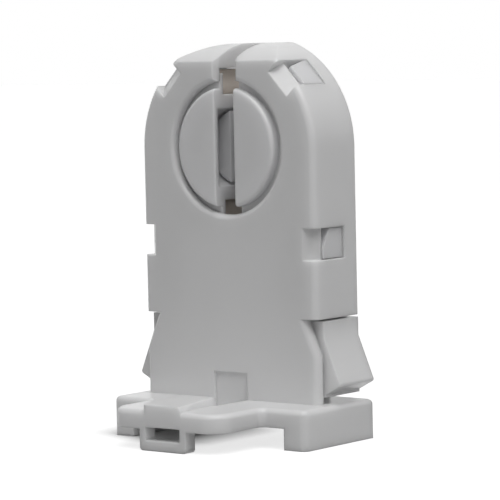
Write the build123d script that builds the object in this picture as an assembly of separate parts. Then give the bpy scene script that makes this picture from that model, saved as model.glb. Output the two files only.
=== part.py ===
from build123d import *
import os

os.makedirs("parts", exist_ok=True)

# Rotary lamp holder for a bi-pin tube lamp, with side latches for a sheet-metal cut-out.
# All pieces are drawn from the rotor axis where it meets the front face:
# X across, Y back into the body, Z up. They are lifted onto the feet when they are written.

# Lamp cap that the holder takes
pin_pitch = 12.7
pin_diameter = 2.35
pin_length = 7.62
pin_tip_gap = 0.1

# Clearances
running_gap = 0.1
bearing_gap = 0.08
assembly_gap = 0.1
latch_gap = 0.3

# How far a cut runs past the solid, and how far two forms of one solid run into each other
past = 1.0
bite = 0.01

# Housing body
body_width = 29.0
body_depth = 9.3
body_drop = 22.3
front_wall = 1.1
side_wall = 2.05
edge_round = 0.9
rear_round = 0.4
cavity_top = 10.45
cavity_floor_wall = 1.2
cavity_floor = 21.8
bevel_front = 11.4
bevel_middle = 13.35
bevel_back = 13.65

# Opening for the rotor, and the slot that the lamp pins pass through
bore_radius = 8.9
bore_round = 0.7
slot_width = 3.1
slot_flare = 0.45
slot_flare_depth = 0.9

# Windows and hooks that hold the rear cover
window_height = 4.14
window_inset = 2.1
window_ramp = 1.65
window_land = 0.3
window_back = 6.4
side_window_drop = 12.5
shoulder_height = 4.35
shoulder_inset = 2.4
shoulder_angle = 46.9
hook_thickness = 1.15
hook_recess = 0.25
side_hook_slant = (1.4, 2.4)
shoulder_hook_slant = (3.5, 0.9)

# Front plate below the body, with the block between the latches behind it
front_plate = 1.2
plate_neck = 12.43
plate_flare_drop = 27.0
block_width = 19.0
block_wall = 1.3
field_width = 5.5
field_top_drop = 29.8
field_depth = 0.4
pocket_depth = 1.5

# Base
axis_above_plate = 33.4
plate_thickness = 2.5
foot_drop = 2.8
base_width = 32.5
base_front = 5.2
foot_width = 3.5
tongue_width = 18.4
tongue_front = 14.3
tongue_round = 3.0
base_corner_round = 1.0
base_round = 0.7
inner_corner = 1.0
pad_width = 6.0
pad_narrowing = 0.6
pad_front_length = 1.2
pad_slant_length = 2.7
pad_back = 6.5
pad_front_rise = 0.7
pad_back_rise = 1.1
pad_bevel = 0.7
tab_round = 0.5
tab_width = 7.7
tab_thickness = 1.9
tab_hole_width = 5.7
tab_hole_height = 1.7
tab_bar = 1.4

# Rotor
rotor_proud = 0.25
disc_radius = 8.0
disc_thickness = 0.8
disc_round = 0.5
flange_radius = 9.9
flange_thickness = 0.6
core_radius = 7.2
core_wall = 1.8
ring_thickness = 0.8
rotor_slot = 3.2
rotor_slot_round = 0.2

# Rear cover
cover_thickness = 1.2
hub_front = 3.1
hub_pin_gap = 0.17

# Contacts, folded from strip
strip_thickness = 0.4
strip_front = 2.0
strip_width = 5.8
contact_squeeze = 0.16
contact_tip = (2.7, 10.3)
contact_turn = 7.75
contact_bow = (7.0, 4.4)
strip_bend = 0.7
terminal_drop = 31.5
terminal_width = 4.2
tongue_rise = 6.0
tongue_tip_gap = 0.4
finger_slit = 0.5
wire_pitch = 2.9
wire_diameter = 1.5
wire_entry_diameter = 2.0
wire_funnel = 0.5
wire_offset = 1.45
rib_width = 5.8
rib_top_drop = 10.6
ledge_top_drop = 11.4

# Side latches
panel_gap = 0.85
latch_pivot_inset = 3.1
latch_pivot_below = 1.0
latch_pin_radius = 0.8
knuckle_radius = 1.25
ear_radius = 1.45
ear_width = 1.8
ear_room = 0.25
latch_front = 1.6
latch_straight = 2.7
latch_reach_out = 2.4
latch_heel_height = 1.65
latch_inner_inset = 1.6
latch_recess = 0.05
latch_heel_slant = 0.35
latch_round = 0.4

# Places that follow from the sizes above
half_width = body_width / 2
cavity_half = half_width - side_wall
hook_front = window_ramp + window_land + assembly_gap
latch_pivot_x = half_width - latch_pivot_inset
latch_pivot_drop = body_drop + latch_pivot_below
latch_straight_drop = body_drop + latch_straight
latch_inner_x = half_width - latch_inner_inset
latch_tip_x = half_width + latch_reach_out
latch_heel_drop = axis_above_plate - panel_gap
latch_tip_drop = latch_heel_drop - latch_heel_height
rotor_front = -rotor_proud
flange_front = front_wall + running_gap
ring_front = rotor_front + pin_length + pin_tip_gap
ring_back = ring_front + ring_thickness
cover_front = ring_back + running_gap
cover_back = cover_front + cover_thickness
axis_height = axis_above_plate + plate_thickness + foot_drop
plate_bottom = axis_above_plate + plate_thickness
hub_radius = pin_pitch / 2 - pin_diameter / 2 - hub_pin_gap
strip_back = strip_front + strip_width
strip_middle = (strip_front + strip_back) / 2
rib_half = rib_width / 2
block_half = block_width / 2
chamber_half = block_half - block_wall
back_plate_x = rib_half + strip_thickness / 2
wire_x = rib_half + wire_offset
chamber_floor = terminal_drop + strip_thickness / 2
span_middle_y = (cover_back - tongue_front) / 2


def slab(outline, front, back):
    """Solid of an outline drawn in the front view, between two depths behind the front face."""
    return extrude(Plane.XZ.offset(-front) * outline, amount=back - front, dir=(0, 1, 0))


def panel(x_min, x_max, z_min, z_max):
    """Rectangle in the front view, from its edges."""
    return Pos((x_min + x_max) / 2, (z_min + z_max) / 2) * Rectangle(x_max - x_min, z_max - z_min)


def block(x_min, x_max, y_min, y_max, z_min, z_max):
    """Box between two limits on each axis."""
    return slab(panel(x_min, x_max, z_min, z_max), y_min, y_max)


def outline(*points):
    """Closed straight-sided outline."""
    return make_face(Polyline(*points, close=True))


def arch(half, drop):
    """Round-topped outline, concentric with the rotor, with straight sides below."""
    return Circle(half) + panel(-half, half, -drop, 0)


def disc(radius, front, back):
    """Round slab on the rotor axis."""
    return slab(Circle(radius), front, back)


def edges_at_depth(part, depth):
    """Edges that lie in one plane parallel to the front face."""
    return part.edges().filter_by_position(Axis.Y, depth - bite, depth + bite)


def outer_edges(part, depth):
    """Outermost loop of edges in one plane parallel to the front face."""
    face = part.faces().filter_by(Axis.Y).filter_by_position(Axis.Y, depth - bite, depth + bite)
    return face.sort_by(SortBy.AREA)[-1].outer_wire().edges()


def body_block():
    """Solid body with rounded edges and the sloping crown in front."""
    body = slab(arch(half_width, body_drop), 0, body_depth)
    body = fillet(outer_edges(body, 0).filter_by_position(Axis.Z, -body_drop + bite, half_width), edge_round)
    body = fillet(outer_edges(body, body_depth), rear_round)
    slope = ThreePointArc((0, bevel_front), (body_depth / 2, bevel_middle), (body_depth, bevel_back))
    top = half_width + past
    behind = body_depth + past
    rest = Polyline((body_depth, bevel_back), (behind, bevel_back), (behind, top))
    rest += Polyline((behind, top), (-past, top), (-past, bevel_front), (0, bevel_front))
    above = extrude(Plane.YZ * make_face(slope + rest), amount=half_width, both=True)
    return body - above


def lower_plate():
    """Thin front plate that widens below the body down to the base."""
    shape = outline(
        (-plate_neck, -body_drop + edge_round),
        (plate_neck, -body_drop + edge_round),
        (plate_neck, -body_drop),
        (half_width, -plate_flare_drop),
        (half_width, -axis_above_plate - plate_thickness / 2),
        (-half_width, -axis_above_plate - plate_thickness / 2),
        (-half_width, -plate_flare_drop),
        (-plate_neck, -body_drop),
    )
    plate = slab(shape, 0, front_plate)
    sides = edges_at_depth(plate, 0).filter_by(Axis.X, reverse=True)
    return fillet(sides, edge_round)


def base_plate():
    """Base with side feet, front tongue, raised centre and the pierced tab."""
    half_base = base_width / 2
    half_tongue = tongue_width / 2
    top = -axis_above_plate
    bottom = -plate_bottom
    ground = -axis_height
    plan = Pos(0, (cover_back - base_front) / 2) * Rectangle(base_width, cover_back + base_front)
    plan += Pos(0, -tongue_front / 2) * Rectangle(tongue_width, tongue_front)
    inner = plan.vertices().filter_by_position(Axis.Y, -base_front - bite, -base_front + bite)
    plan = fillet(inner.filter_by_position(Axis.X, -half_tongue - bite, half_tongue + bite), inner_corner)
    plan = fillet(plan.vertices().group_by(Axis.Y)[0], tongue_round)
    front_line = plan.vertices().filter_by_position(Axis.Y, -base_front - bite, -base_front + bite).sort_by(Axis.X)
    plan = fillet([front_line[0], front_line[-1]], base_corner_round)
    plate = extrude(Plane.XY.offset(bottom) * plan, amount=plate_thickness)
    for side in (-1, 1):
        foot_x = sorted((side * half_base, side * (half_base - foot_width)))
        foot = plan & panel(*foot_x, -base_front, cover_back)
        plate += extrude(Plane.XY.offset(ground) * foot, amount=foot_drop + plate_thickness / 2)
    plate = fillet(plate.edges().group_by(Axis.Z)[-1], base_round)
    tab = block(-tab_width / 2, tab_width / 2, -tongue_front, tab_thickness - tongue_front, ground, top - base_round)
    tab = fillet(tab.edges().filter_by(Axis.Y).group_by(Axis.Z)[0], tab_round)
    hole_bottom = ground + tab_bar
    hole = block(
        -tab_hole_width / 2, tab_hole_width / 2,
        -tongue_front - past, tab_thickness - tongue_front + past,
        hole_bottom, hole_bottom + tab_hole_height,
    )
    half_pad = pad_width / 2
    narrow = half_pad - pad_narrowing
    slant_front = pad_front_length - tongue_front
    plan_of_pad = outline(
        (half_pad, -tongue_front), (half_pad, slant_front), (narrow, slant_front + pad_slant_length),
        (narrow, -pad_back), (-half_pad, -pad_back), (-half_pad, -tongue_front),
    )
    root = top - plate_thickness / 2
    side_of_pad = outline(
        (-tongue_front, root), (-tongue_front, top + pad_front_rise), (-pad_back, top + pad_back_rise), (-pad_back, root),
    )
    pad = extrude(Plane.XY.offset(root) * plan_of_pad, amount=2 * plate_thickness)
    pad &= extrude(Plane.YZ * side_of_pad, amount=pad_width, both=True)
    bevel_back_y = slant_front + pad_slant_length
    bevel = outline((half_pad - pad_bevel, top + pad_back_rise), (half_pad + pad_bevel, top - pad_bevel),
                    (half_pad + pad_bevel, top + pad_back_rise))
    pad -= slab(bevel, -tongue_front, bevel_back_y)
    return plate + pad + tab - hole


def both_sides(part):
    """A form drawn on the +X side, together with its mirror twin."""
    return part + mirror(part, Plane.YZ)


def window(inset, height):
    """Cut for one rear-cover hook: a ramp from the front face, a short land, and the hole for the nose."""
    mouth = half_width - inset
    sill = mouth + window_ramp
    land_back = window_ramp + window_land
    outside = half_width + past
    root = cavity_half - hook_thickness
    profile = outline(
        (mouth - past, -past), (sill, window_ramp), (sill, land_back), (root, land_back),
        (root, window_back), (outside, window_back), (outside, -past),
    )
    return extrude(Plane.XY * profile, amount=height / 2, both=True)


def side_place():
    """Where the right side window sits."""
    return Pos(0, 0, -side_window_drop)


def shoulder_place():
    """Where the right shoulder window sits, turned up round the rotor axis."""
    return Rot(0, shoulder_angle - 90, 0)


def cavity_outline(gap):
    """Front view of the hollow round the rotor, smaller by a gap where the cover fills it."""
    wide = arch(cavity_half - gap, cavity_floor - cavity_floor_wall - gap)
    return wide & panel(-cavity_half, cavity_half, -body_drop, cavity_top - gap)


def chamber_outline(gap):
    """Front view of the wire chamber between the latches."""
    top = -cavity_floor + 2 * cavity_floor_wall
    return panel(gap - chamber_half, chamber_half - gap, gap - chamber_floor, top)


def ear_outline(side, gap):
    """Front view of the cover's ear that holds a latch knuckle on its pin."""
    neck_top = -cavity_floor + 2 * cavity_floor_wall
    x = side * latch_pivot_x
    half = ear_width / 2 + gap
    return Pos(x, -latch_pivot_drop) * Circle(ear_radius + gap) + panel(x - half, x + half, -latch_pivot_drop, neck_top)


def bore_and_slot():
    """Rotor opening with a soft rim, and the pin slot with flared lips up to the crown."""
    cut = disc(bore_radius, -past, front_wall + bite)
    rim = disc(bore_radius + bore_round, -past, bore_round)
    rim -= Torus(bore_radius + bore_round, bore_round).moved(Pos(0, bore_round, 0) * Rot(90, 0, 0))
    half = slot_width / 2
    cut += block(-half, half, -past, cover_front, 0, half_width + past)
    flared = half + slot_flare
    lip = outline((-flared, -past), (flared, -past), (flared, 0), (half, slot_flare_depth),
                  (-half, slot_flare_depth), (-flared, 0))
    cut += extrude(Plane.XY.offset(bore_radius) * lip, amount=half_width)
    return cut + rim


def wire_entry(x, y):
    """Funnel-mouthed hole up through the base into the wire chamber."""
    radius = wire_entry_diameter / 2
    depth = plate_bottom - chamber_floor + past
    hole = Pos(x, y, -plate_bottom + depth / 2) * Cylinder(radius, depth)
    return hole + Pos(x, y, -plate_bottom + wire_funnel / 2) * Cone(radius + wire_funnel, radius, wire_funnel)


def housing():
    """Front shell with its base, one moulding, open at the back."""
    middle = panel(-block_half, block_half, -axis_above_plate - plate_thickness / 2, -body_drop + past)
    shell = body_block() + lower_plate() + slab(middle, front_plate / 2, body_depth) + base_plate()

    # The hollow is cut from the back: wide round the rotor, narrow between the latches
    shell -= slab(cavity_outline(0), front_wall, body_depth + past)
    shell -= slab(chamber_outline(0), strip_front, body_depth + past)
    for side in (-1, 1):
        latch_room = Pos(side * (block_half + cavity_half) / 2, -body_drop) * Rectangle(
            cavity_half - block_half, 2 * (body_drop - cavity_floor))
        shell -= slab(latch_room, front_plate, body_depth + past)
        shell -= slab(ear_outline(side, assembly_gap), cover_front, body_depth + past)

    # Ledge and rib that carry the contacts
    shell += block(-chamber_half, chamber_half, front_wall, strip_front, -body_drop, -ledge_top_drop)
    shell += block(-rib_half, rib_half, front_wall, cover_front, -chamber_floor, -rib_top_drop)

    # Pivot pins for the latches
    for side in (-1, 1):
        pin = Pos(side * latch_pivot_x, -latch_pivot_drop) * Circle(latch_pin_radius)
        shell += slab(pin, front_plate / 2, cover_front)

    shell -= bore_and_slot()
    for side in (-1, 1):
        for offset in (-wire_pitch / 2, wire_pitch / 2):
            shell -= wire_entry(side * wire_x, strip_middle + offset)

    # Bare sunk field at the foot of the front plate, running down into a pocket behind the pad
    half_field = field_width / 2
    pocket_floor = -axis_above_plate - pocket_depth
    shell -= block(-half_field, half_field, -pad_back, field_depth, pocket_floor, -field_top_drop)

    shell -= both_sides(side_place() * window(window_inset, window_height))
    shell -= both_sides(shoulder_place() * window(shoulder_inset, shoulder_height))
    return shell


def rear_cover():
    """Back plate with the slotted centre hub and four snap hooks, one moulding."""
    plan = cavity_outline(assembly_gap) + chamber_outline(assembly_gap) + ear_outline(-1, 0) + ear_outline(1, 0)
    cover = slab(plan, cover_front, cover_back)
    cover = fillet(outer_edges(cover, cover_back), rear_round)
    cover += disc(hub_radius, hub_front, cover_front)
    cover -= block(-slot_width / 2, slot_width / 2, 0, cover_front, -half_width, half_width)
    cover += both_sides(side_place() * hook(window_height, side_hook_slant, curved=False))
    cover += both_sides(shoulder_place() * hook(shoulder_height, shoulder_hook_slant, curved=True))
    return cover


def hook(height, slant, curved):
    """Springy arm with a nose that fills its window; the nose is cut off at a slant toward its upper front."""
    outer = cavity_half - assembly_gap
    half = height / 2 - assembly_gap
    nose_back = window_back - assembly_gap
    arm = block(outer - hook_thickness, outer, hook_front, cover_front + cover_thickness / 2, -half, half)
    if curved:
        arm &= disc(outer, hook_front, cover_back)
    side_view = outline(
        (hook_front, -half), (hook_front, half - slant[1]), (hook_front + slant[0], half),
        (nose_back, half), (nose_back, -half),
    )
    reach = half_width - hook_recess
    nose = extrude(Plane.YZ * side_view, amount=reach)
    nose &= block(outer - hook_thickness / 2, reach, 0, body_depth, -half, half)
    return arm + nose


def rotor():
    """Slotted front disc and flange on two curved walls, joined by a ring at the back."""
    turned = disc(disc_radius, rotor_front, flange_front)
    turned = fillet(edges_at_depth(turned, rotor_front), disc_round)
    turned += disc(flange_radius, flange_front, flange_front + flange_thickness)
    turned += disc(core_radius, flange_front, ring_back)
    turned -= disc(core_radius - core_wall, rotor_front + disc_thickness, ring_front)
    turned -= disc(hub_radius + bearing_gap, ring_front - bite, ring_back + past)
    reach = flange_radius + past
    slot = block(-rotor_slot / 2, rotor_slot / 2, rotor_front - past, ring_front, -reach, reach)
    turned -= slot
    lips = edges_at_depth(turned, rotor_front).filter_by(Axis.Z)
    return fillet(lips, rotor_slot_round)


def contact(side):
    """One folded strip: bow round the rotor, back plate, and a wire clamp with two fingers."""
    crest_x = pin_pitch / 2 + pin_diameter / 2 - contact_squeeze + strip_thickness / 2
    foot_x = back_plate_x + terminal_width
    path = FilletPolyline(
        contact_tip,
        (contact_tip[0], contact_turn),
        contact_bow,
        (crest_x, 0),
        (contact_bow[0], -contact_bow[1]),
        (back_plate_x, -contact_turn),
        (back_plate_x, -terminal_drop),
        (foot_x, -terminal_drop),
        (back_plate_x + strip_thickness + tongue_tip_gap, -terminal_drop + tongue_rise),
        radius=strip_bend,
    )
    strip = slab(trace(path, strip_thickness), strip_front, strip_back)
    fingers = block(
        back_plate_x + strip_thickness, foot_x + past,
        strip_middle - finger_slit / 2, strip_middle + finger_slit / 2,
        -terminal_drop + strip_thickness, -terminal_drop + tongue_rise + past,
    )
    strip -= fingers
    for offset in (-wire_pitch / 2, wire_pitch / 2):
        strip -= Pos(wire_x, strip_middle + offset, -terminal_drop) * Cylinder(wire_diameter / 2, 2 * past)
    if side < 0:
        strip = mirror(strip, Plane.YZ)
    return strip


def latch(side):
    """Wedge-shaped side latch on a knuckle that turns on the housing's pin."""
    root_x = half_width - latch_recess
    pivot = Pos(latch_pivot_x, -latch_pivot_drop)
    wedge = outline(
        (latch_pivot_x, -body_drop - latch_gap),
        (root_x, -body_drop - latch_gap),
        (root_x, -latch_straight_drop),
        (latch_tip_x, -latch_tip_drop),
        (root_x, -latch_heel_drop + latch_heel_slant),
        (root_x, -latch_heel_drop),
        (latch_inner_x, -latch_heel_drop),
        (latch_inner_x, -latch_pivot_drop - knuckle_radius),
        (latch_pivot_x, -latch_pivot_drop - knuckle_radius),
    )
    arm = slab(wedge, latch_front, body_depth - assembly_gap)
    arm = fillet(arm.edges().filter_by(Axis.Y).group_by(Axis.X)[-1], latch_round)
    arm -= slab(pivot * Circle(ear_radius + ear_room), cover_front - assembly_gap, body_depth)
    arm += slab(pivot * Circle(knuckle_radius), front_plate + assembly_gap, cover_front - assembly_gap)
    arm -= slab(pivot * Circle(latch_pin_radius + bearing_gap), 0, body_depth + past)
    if side < 0:
        arm = mirror(arm, Plane.YZ)
    return arm


pieces = {
    "housing": housing(),
    "rear_cover": rear_cover(),
    "rotor": rotor(),
    "contact_left": contact(-1),
    "contact_right": contact(1),
    "latch_left": latch(-1),
    "latch_right": latch(1),
}
stand = Pos(0, -span_middle_y, axis_height)
for name, piece in pieces.items():
    solids = piece.solids()
    shape = solids[0] if len(solids) == 1 else Compound(solids)
    export_step(stand * shape, f"parts/{name}.step")
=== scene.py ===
# %% [markdown]
# # A rotary lamp holder for a bi-pin tube lamp
# This lesson dresses a small moulded lamp holder. The solids come from a CAD model that is packed
# beforehand, and everything here shares its frame: metres, +Z up, the rotor facing -Y.
# The first cell loads that frame.

# %% Load the imported model
import bpy
import math
from mathutils import Matrix, Vector


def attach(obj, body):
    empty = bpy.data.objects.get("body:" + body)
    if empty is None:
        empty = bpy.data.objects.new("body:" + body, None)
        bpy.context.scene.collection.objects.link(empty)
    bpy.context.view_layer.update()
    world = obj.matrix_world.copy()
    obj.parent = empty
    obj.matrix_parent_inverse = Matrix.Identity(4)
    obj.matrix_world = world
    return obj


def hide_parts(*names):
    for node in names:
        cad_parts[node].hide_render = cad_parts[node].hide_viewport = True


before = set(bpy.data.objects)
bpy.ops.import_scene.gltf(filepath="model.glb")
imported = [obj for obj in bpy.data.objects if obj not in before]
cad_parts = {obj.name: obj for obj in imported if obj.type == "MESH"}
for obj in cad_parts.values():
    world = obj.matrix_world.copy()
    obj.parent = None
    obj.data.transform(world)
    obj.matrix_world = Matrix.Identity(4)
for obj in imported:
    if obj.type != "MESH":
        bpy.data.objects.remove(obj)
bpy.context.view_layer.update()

MM = 0.001

# %% [markdown]
# ## The camera
# The holder was photographed from its front right, a little from above, with a long lens. A camera
# is set by where it stands and which way its three axes point. Here the axes are built from a turn,
# a rise and a slight roll, because those three angles are easy to read and to change one by one.

# %% Camera at the photograph's angle
turn, rise, roll = math.radians(38.284), math.radians(4.238), math.radians(1.262)
back = Vector((math.sin(turn) * math.cos(rise), -math.cos(turn) * math.cos(rise), math.sin(rise)))
level = Vector((math.cos(turn), math.sin(turn), 0))
upward = back.cross(level)
right = level * math.cos(roll) - upward * math.sin(roll)
up = level * math.sin(roll) + upward * math.cos(roll)
standpoint = Vector((225.336, -278.342, 51.751)) * MM

camera_data = bpy.data.cameras.new("studio_camera")
camera_data.sensor_width = 36
camera_data.lens = 196.27
camera_data.clip_start, camera_data.clip_end = 0.02, 20
camera = bpy.data.objects.new("studio_camera", camera_data)
bpy.context.scene.collection.objects.link(camera)
aim = Matrix((right, up, back)).transposed().to_4x4()
aim.translation = standpoint
camera.matrix_world = aim
bpy.context.scene.camera = camera
print("camera looks along", [round(v, 3) for v in -back])

# %% [markdown]
# ## Shader maths as plain expressions
# A finish is a graph of nodes, and graphs are hard to read as a list of links. `Level` wraps one
# number socket, so that `0.3 + 0.1 * grain` adds the Math nodes by itself. The reflected forms let
# a plain number stand on the left.

# %% Level: a number that changes over the surface
class Level:
    def __init__(self, finish, socket):
        self.finish, self.socket = finish, socket

    def join(self, operation, first, second):
        settings = {"operation": operation}
        return self.finish.node("ShaderNodeMath", settings, {0: first, 1: second}).out()

    def __add__(self, other):
        return self.join("ADD", self, other)

    __radd__ = __add__

    def __rsub__(self, other):
        return self.join("SUBTRACT", other, self)

    def __mul__(self, other):
        return self.join("MULTIPLY", self, other)

    __rmul__ = __mul__

    def __pow__(self, other):
        return self.join("POWER", self, other)


print("shader maths ready")

# %% [markdown]
# ## One way to add any node
# `Finish` makes a material and any node in it: its type first, then its settings, then what its
# sockets get. `Step` is a node just made, which hands out its outputs by name. Cloudy noise, colour
# blends, ramps and relief come back in every finish, so each is named once here.

# %% Finish: one material and its nodes
class Step:
    def __init__(self, finish, made):
        self.finish, self.made = finish, made

    def out(self, name=0):
        return Level(self.finish, self.made.outputs[name])


class Finish:
    def __init__(self, name):
        self.material = bpy.data.materials.new(name)
        self.material.use_nodes = True
        self.tree = self.material.node_tree
        self.shader = self.tree.nodes["Principled BSDF"]
        self.place = self.node("ShaderNodeTexCoord").out("Object")

    def give(self, socket, value):
        if isinstance(value, Level):
            self.tree.links.new(value.socket, socket)
        else:
            socket.default_value = value

    def node(self, kind, settings=None, sockets=None):
        made = self.tree.nodes.new(kind)
        for name, value in (settings or {}).items():
            setattr(made, name, value)
        for name, value in (sockets or {}).items():
            self.give(made.inputs[name], value)
        return Step(self, made)

    def grain(self, size, detail=2.0, rough=0.5, stretch=(1, 1, 1)):
        """Cloudy pattern whose spots are about `size` metres across."""
        sockets = {"Vector": self.place, "Scale": stretch}
        where = self.node("ShaderNodeMapping", {}, sockets).out()
        sockets = {"Vector": where, "Scale": 1 / size, "Detail": detail, "Roughness": rough}
        return self.node("ShaderNodeTexNoise", {}, sockets).out()

    def blend(self, amount, first, second):
        """Colour that goes from the first to the second as the amount goes from 0 to 1."""
        sockets = {"Factor": amount, 6: first, 7: second}
        return self.node("ShaderNodeMix", {"data_type": "RGBA"}, sockets).out(2)

    def ramp(self, value, start, stop):
        """Rises from 0 where the value is at `start` to 1 at `stop`."""
        sockets = {"Value": value, "From Min": start, "From Max": stop}
        return self.node("ShaderNodeMapRange", {}, sockets).out()

    def relief(self, height, depth, strength, edge):
        """Fine relief on top of a soft turn of the light across every edge."""
        soft = self.node("ShaderNodeBevel", {"samples": 6}, {"Radius": edge}).out()
        sockets = {"Height": height, "Distance": depth, "Strength": strength, "Normal": soft}
        self.give(self.shader.inputs["Normal"], self.node("ShaderNodeBump", {}, sockets).out())

    def set(self, **values):
        for name, value in values.items():
            self.give(self.shader.inputs[name.replace("_", " ")], value)


print("finishes ready")

# %% [markdown]
# ## White moulded plastic
# The housing, cover, rotor and latches are one family of white thermoplastic. Real mouldings are
# never one flat white: the melt leaves faint clouds and flow marks, and the tool leaves a fine
# satin grain. Light also enters the plastic a few millimetres deep, which lifts slots and corners,
# so a share of subsurface light stands for that. A thin gloss coat gives the moulded skin its
# highlights. Object coordinates keep the pattern still on each piece, at its real size.

# %% Moulded plastic
def moulded_plastic(name, white, shade, gloss):
    finish = Finish(name)
    clouds = finish.grain(12 * MM, detail=3)
    flow = finish.grain(20 * MM, stretch=(1, 1, 0.25))
    satin = finish.grain(0.22 * MM, rough=0.6)
    ripple = finish.grain(4 * MM, detail=1)
    finish.set(Base_Color=finish.blend(clouds * 0.6 + flow * 0.4, shade, white))
    finish.set(Roughness=gloss - 0.05 + 0.08 * clouds + 0.05 * satin)
    finish.set(IOR=1.5, Coat_Weight=0.25 + 0.1 * clouds, Coat_Roughness=0.16)
    finish.set(Subsurface_Weight=0.8, Subsurface_Scale=2.5 * MM, Subsurface_Radius=(1, 1, 1))
    finish.relief(satin * 0.25 + ripple * 0.75, depth=0.03 * MM, strength=0.35, edge=0.3 * MM)
    return finish.material


bright_white, bright_shade = (0.80, 0.80, 0.80, 1), (0.76, 0.76, 0.765, 1)
white_body = moulded_plastic("white_housing_plastic", bright_white, bright_shade, 0.36)
white_rotor = moulded_plastic(
    "white_rotor_plastic", (0.78, 0.78, 0.785, 1), (0.73, 0.73, 0.74, 1), 0.33)
white_latch = moulded_plastic("white_latch_plastic", bright_white, bright_shade, 0.38)
white_cover = moulded_plastic(
    "white_cover_plastic", (0.78, 0.78, 0.79, 1), (0.73, 0.73, 0.745, 1), 0.36)
print("plastics:", [m.name for m in (white_body, white_rotor, white_latch, white_cover)])

# %% [markdown]
# ## Bronze contact strip
# The contacts are folded from springy bronze strip. Rolling leaves fine lines along the strip, and
# air dulls it in patches, so the colour mixes a bright and a dull tone and the roughness follows.
# Clean bronze would be browner and a full mirror. In the photograph the strip looks pale, greyish
# and flat, so its colours are pale here and its metal share is under a half.

# %% Contact bronze
def contact_bronze():
    finish = Finish("contact_bronze")
    rolled = finish.grain(0.3 * MM, stretch=(1, 1, 0.06))
    patches = finish.grain(4 * MM, detail=4, rough=0.6)
    bright, dull = (0.98, 0.91, 0.83, 1), (0.88, 0.80, 0.72, 1)
    finish.set(Base_Color=finish.blend(patches, bright, dull))
    finish.set(Roughness=0.38 + 0.2 * patches + 0.06 * rolled, Metallic=0.45)
    finish.relief(rolled, depth=0.01 * MM, strength=0.4, edge=0.05 * MM)
    return finish.material


bronze = contact_bronze()
print("bronze ready")

# %% [markdown]
# ## Softened mouldings
# A moulding tool is cut with small radii, so no edge of the real pieces is knife-sharp. The CAD
# solid has the large roundings. Its mesh is loose triangles, so a copy is merged, its flat faces
# are joined and kept convex, and a bevel follows. The bevel's overlap clamp takes one limit for the
# whole mesh from its short edges, and here that holds the bevel to less than 0.01 mm, far below the
# width asked for. The roundness that shows at these edges is the shader's soft turn of the light.
# Weighted normals keep the large flats even. The copy then stands for the CAD node.

# %% A softened copy of a CAD node
FLAT_WITHIN = math.radians(0.3)
BEVEL_ABOVE = math.radians(32)
SMOOTH_BELOW = math.radians(35)


def softened(node, name, body, finish, radius):
    bpy.ops.object.select_all(action="DESELECT")
    piece = bpy.data.objects.new(name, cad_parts[node].data.copy())
    bpy.context.scene.collection.objects.link(piece)
    piece.data.materials.clear()
    piece.data.materials.append(finish)
    piece.select_set(True)
    bpy.context.view_layer.objects.active = piece
    bpy.ops.mesh.customdata_custom_splitnormals_clear()

    bpy.ops.object.mode_set(mode="EDIT")
    bpy.ops.mesh.select_all(action="SELECT")
    bpy.ops.mesh.remove_doubles(threshold=0.001 * MM)
    bpy.ops.mesh.dissolve_limited(angle_limit=FLAT_WITHIN)
    bpy.ops.mesh.vert_connect_concave()
    bpy.ops.object.mode_set(mode="OBJECT")

    bevel = piece.modifiers.new("soft_edges", "BEVEL")
    bevel.width = radius
    bevel.segments = 3
    bevel.limit_method = "ANGLE"
    bevel.angle_limit = BEVEL_ABOVE
    bevel.miter_outer = "MITER_ARC"
    bevel.use_clamp_overlap = True
    bpy.ops.object.modifier_apply(modifier=bevel.name)

    bpy.ops.object.shade_smooth_by_angle(angle=SMOOTH_BELOW)
    flats = piece.modifiers.new("even_flats", "WEIGHTED_NORMAL")
    flats.keep_sharp = True
    bpy.ops.object.modifier_apply(modifier=flats.name)

    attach(piece, body)
    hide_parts(node)
    print(name, "has", len(piece.data.polygons), "faces")


softened("housing", "housing_moulding", "body", white_body, 0.2 * MM)
softened("rear_cover", "rear_cover_moulding", "body", white_cover, 0.1 * MM)
softened("rotor", "rotor_moulding", "rotor", white_rotor, 0.08 * MM)
for side in ("left", "right"):
    latch, contact = f"latch_{side}", f"contact_{side}"
    softened(latch, f"latch_moulding_{side}", latch, white_latch, 0.3 * MM)
    softened(contact, f"contact_strip_{side}", "body", bronze, 0.03 * MM)

# %% [markdown]
# ## A pale floor
# The holder stands on a plain pale floor. Light Path makes it glow white for the camera and in
# reflections, while the light that it throws back onto the holder stays at a plain level. A floor
# that glows hides most of a cast shadow, so its shade is painted. Ambient Occlusion finds where
# the base covers the floor. Two ramps keep the deep part of that shade under the left and the back
# of the base, where one looks through the hole in the tab, which is dark in the photograph.

# %% Floor and the shade under the base
def whitening_rays(finish):
    """1 for the rays that should find plain white, and 0 for those that carry light."""
    rays = finish.node("ShaderNodeLightPath")
    glossy, transmission = rays.out("Is Glossy Ray"), rays.out("Is Transmission Ray")
    return rays.out("Is Camera Ray") + glossy + transmission


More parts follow.
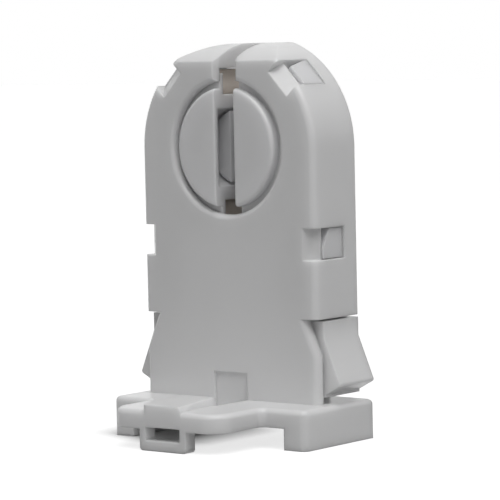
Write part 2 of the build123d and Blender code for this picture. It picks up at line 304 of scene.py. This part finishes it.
floor_finish = Finish("pale_floor")
cover = {"Distance": 7 * MM}
open_above = floor_finish.node("ShaderNodeAmbientOcclusion", {"samples": 16}, cover).out("AO")
spot = floor_finish.node("ShaderNodeSeparateXYZ", {}, {0: floor_finish.place})
leftward = floor_finish.ramp(spot.out("X"), 2 * MM, -6 * MM)
inward = floor_finish.ramp(spot.out("Y"), -7 * MM, -3 * MM)
faint_shade, added_shade = 0.12, 0.86
shade = (faint_shade + added_shade * leftward * inward) * (1 - open_above ** 2)
glow = floor_finish.blend(
    whitening_rays(floor_finish) * (1 - shade), (0, 0, 0, 1), (0.85, 0.85, 0.85, 1))
floor_finish.set(Base_Color=(0.36, 0.36, 0.36, 1), Roughness=0.9)
floor_finish.set(Emission_Color=glow, Emission_Strength=1.0)

bpy.ops.object.select_all(action="DESELECT")
bpy.ops.mesh.primitive_plane_add(size=6, location=(0, 0, 0))
floor = bpy.context.object
floor.name = "pale_floor"
floor.data.materials.append(floor_finish.material)
print("floor is", floor.dimensions.x, "m wide")

# %% [markdown]
# ## The air around it
# The background is white for the same rays. The light that reaches the holder from all sides is a
# weak, even fill, so that its white keeps its tone and its shaded sides stay readable. A world has
# a node tree of its own, and `Air` gives it the same ways of adding nodes.

# %% World
class Air(Finish):
    def __init__(self, name):
        self.world = bpy.data.worlds.new(name)
        self.world.use_nodes = True
        self.tree = self.world.node_tree
        self.shader = self.tree.nodes["Background"]


fill_level = 0.17
air = Air("studio_world")
air.set(Color=(1, 1, 1, 1), Strength=fill_level + (1 - fill_level) * whitening_rays(air))
bpy.context.scene.world = air.world
print("world set, fill at", fill_level)

# %% [markdown]
# ## One large soft lamp
# A half-metre softbox hangs above the front right. It is large for so small an object, so shadows
# stay soft. Upward faces come out brightest, the right side next and the front darkest, as in the
# photograph.

# %% Lamp
softbox_place, softbox_target = Vector((0.25, -0.2, 0.58)), Vector((0, 0, 0.03))
softbox_data = bpy.data.lights.new("overhead_softbox", "AREA")
softbox_data.shape, softbox_data.size, softbox_data.energy = "SQUARE", 0.5, 2.93
softbox = bpy.data.objects.new("overhead_softbox", softbox_data)
softbox.location = softbox_place
beam = softbox_target - softbox_place
softbox.rotation_euler = beam.to_track_quat("-Z", "Y").to_euler()
bpy.context.scene.collection.objects.link(softbox)
print("softbox hangs", round(beam.length, 2), "m away")

# %% [markdown]
# ## View settings
# The plain Standard view keeps the tones as they were set.

# %% View settings
bpy.context.scene.view_settings.view_transform = "Standard"
